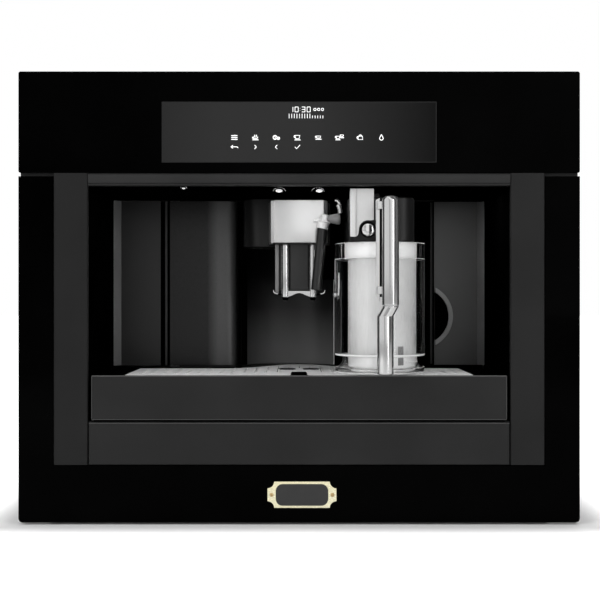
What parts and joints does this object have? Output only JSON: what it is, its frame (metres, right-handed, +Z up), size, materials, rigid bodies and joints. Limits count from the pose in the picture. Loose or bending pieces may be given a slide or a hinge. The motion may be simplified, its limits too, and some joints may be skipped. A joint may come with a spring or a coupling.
{
  "type": "built in coffee machine",
  "caption": "Built-in coffee machine: glass front, open cup bay, drip tray, sliding spout, water tank, service door, docking milk jug, pull-out rails.",
  "frame": {"origin": "centre of the machine's base, on the plane that its base pan stands on", "axes": "+Z up, -Y out of the front towards the user, +X to the user's right"},
  "size_m": [0.595, 0.434, 0.48],
  "materials": {
    "black_glass": "black back-painted glass, polished, bevelled edge",
    "display_glass": "smoked display glass, faint vertical sheen",
    "satin_grey": "anthracite satin lacquer with fine grain",
    "bay_plastic": "dark grey fine-grained moulding",
    "dark_plastic": "near-black satin moulding",
    "chrome_metal": "bright polished chrome",
    "silver_paint": "silver lacquer, semi-gloss",
    "brushed_steel_grid": "stainless steel, brushed along the slots",
    "lamp_lens": "frosted lamp lens",
    "galvanised_sheet": "zinc-coated sheet steel",
    "cast_aluminium": "cast aluminium, matt",
    "milky_plastic": "milky white food-grade moulding",
    "clear_plastic": "clear moulding, polished",
    "float_plastic": "red indicator moulding"
  },
  "bodies": {
    "cabinet_rails": {"cabinet_rail_left": "galvanised_sheet", "cabinet_rail_right": "galvanised_sheet"},
    "middle_rails": {"middle_rail_left": "galvanised_sheet", "middle_rail_right": "galvanised_sheet"},
    "machine": {"upper_glass_panel": "black_glass", "display_window": "display_glass", "lower_glass_frame": "black_glass", "front_carrier": "satin_grey", "left_pillar": "satin_grey", "right_pillar": "satin_grey", "top_bar": "satin_grey", "lower_panel": "satin_grey", "cavity_liner": "bay_plastic", "left_back_panel": "bay_plastic", "recess_panel": "bay_plastic", "spout_housing": "bay_plastic", "steam_panel": "dark_plastic", "connection_nozzle": "chrome_metal", "cup_light_bar": "lamp_lens", "base_pan": "galvanised_sheet", "left_side_panel": "galvanised_sheet", "right_side_panel": "galvanised_sheet", "back_panel": "galvanised_sheet", "top_panel": "galvanised_sheet", "chassis_shelf": "galvanised_sheet", "bean_hopper": "dark_plastic", "grinder": "dark_plastic", "brew_bay": "dark_plastic", "grounds_container": "dark_plastic", "pump": "dark_plastic", "thermoblock": "cast_aluminium", "machine_rail_left": "galvanised_sheet", "machine_rail_right": "galvanised_sheet"},
    "spout": {"spout_cover": "silver_paint", "spout_block": "dark_plastic", "spout_manifold": "chrome_metal"},
    "service_door": {"service_door": "bay_plastic"},
    "brew_unit": {"brew_unit": "milky_plastic"},
    "drip_tray": {"drip_tray": "dark_plastic", "tray_front": "satin_grey", "cup_grid": "brushed_steel_grid"},
    "level_float": {"level_float": "float_plastic"},
    "water_tank": {"water_tank": "clear_plastic", "tank_front": "bay_plastic", "tank_lid": "dark_plastic"},
    "milk_jug": {"jug_shell": "clear_plastic", "jug_cup": "milky_plastic", "milk_lid": "bay_plastic", "lid_fascia": "silver_paint", "lid_handle": "chrome_metal", "jug_handle": "chrome_metal", "milk_intake_tube": "milky_plastic", "milk_outlet_arm": "bay_plastic"},
    "milk_spout": {"milk_spout_cap": "chrome_metal", "milk_spout_tube": "dark_plastic"},
    "clean_button": {"clean_button": "dark_plastic"},
    "froth_cursor": {"froth_cursor": "dark_plastic"},
    "bean_lid": {"bean_lid": "dark_plastic"},
    "funnel_flap": {"funnel_flap": "dark_plastic"},
    "grind_knob": {"grind_knob": "dark_plastic"}
  },
  "joints": [
    {"name": "machine_slide", "type": "slide", "parent": "cabinet_rails", "child": "machine", "axis": [0, -1, 0], "range_m": [0, 0.3]},
    {"name": "middle_rail_slide", "type": "slide", "parent": "cabinet_rails", "child": "middle_rails", "axis": [0, -1, 0], "range_m": [0, 0.15]},
    {"name": "spout_height", "type": "slide", "parent": "machine", "child": "spout", "axis": [0, 0, 1], "range_m": [-0.04, 0]},
    {"name": "service_door_hinge", "type": "hinge", "parent": "machine", "child": "service_door", "pos_m": [-0.152, -0.0225, 0.2582], "axis": [0, 0, -1], "range_deg": [0, 100]},
    {"name": "brew_unit_travel", "type": "slide", "parent": "machine", "child": "brew_unit", "axis": [0, 0, 1], "range_m": [0, 0.02]},
    {"name": "drip_tray_slide", "type": "slide", "parent": "machine", "child": "drip_tray", "axis": [0, -1, 0], "range_m": [0, 0.2]},
    {"name": "level_float_rise", "type": "slide", "parent": "drip_tray", "child": "level_float", "axis": [0, 0, 1], "range_m": [0, 0.006]},
    {"name": "water_tank_slide", "type": "slide", "parent": "machine", "child": "water_tank", "axis": [0, -1, 0], "range_m": [0, 0.22]},
    {"name": "milk_jug_slide", "type": "slide", "parent": "machine", "child": "milk_jug", "axis": [0, -1, 0], "range_m": [0, 0.16]},
    {"name": "milk_spout_swivel", "type": "hinge", "parent": "milk_jug", "child": "milk_spout", "pos_m": [0.028, -0.139, 0.3255], "axis": [-1, 0, 0], "range_deg": [0, 70]},
    {"name": "clean_button_press", "type": "slide", "parent": "milk_jug", "child": "clean_button", "axis": [0, 1, 0], "range_m": [0, 0.002], "stiffness_N_per_m": 300},
    {"name": "froth_cursor_slide", "type": "slide", "parent": "milk_jug", "child": "froth_cursor", "axis": [0, 1, 0], "range_m": [0, 0.025]},
    {"name": "bean_lid_hinge", "type": "hinge", "parent": "machine", "child": "bean_lid", "pos_m": [0.025, 0.152, 0.44315], "axis": [-1, 0, 0], "range_deg": [0, 100]},
    {"name": "funnel_flap_hinge", "type": "hinge", "parent": "machine", "child": "funnel_flap", "pos_m": [-0.12, 0.0945, 0.4425], "axis": [-1, 0, 0], "range_deg": [0, 100]},
    {"name": "grind_knob_turn", "type": "hinge", "parent": "machine", "child": "grind_knob", "pos_m": [0.15, 0.066, 0.44], "axis": [0, 0, 1], "range_deg": [-60, 60]}
  ],
  "couplings": [
    {"joint": "middle_rail_slide", "follows": "machine_slide", "ratio": 0.5}
  ]
}
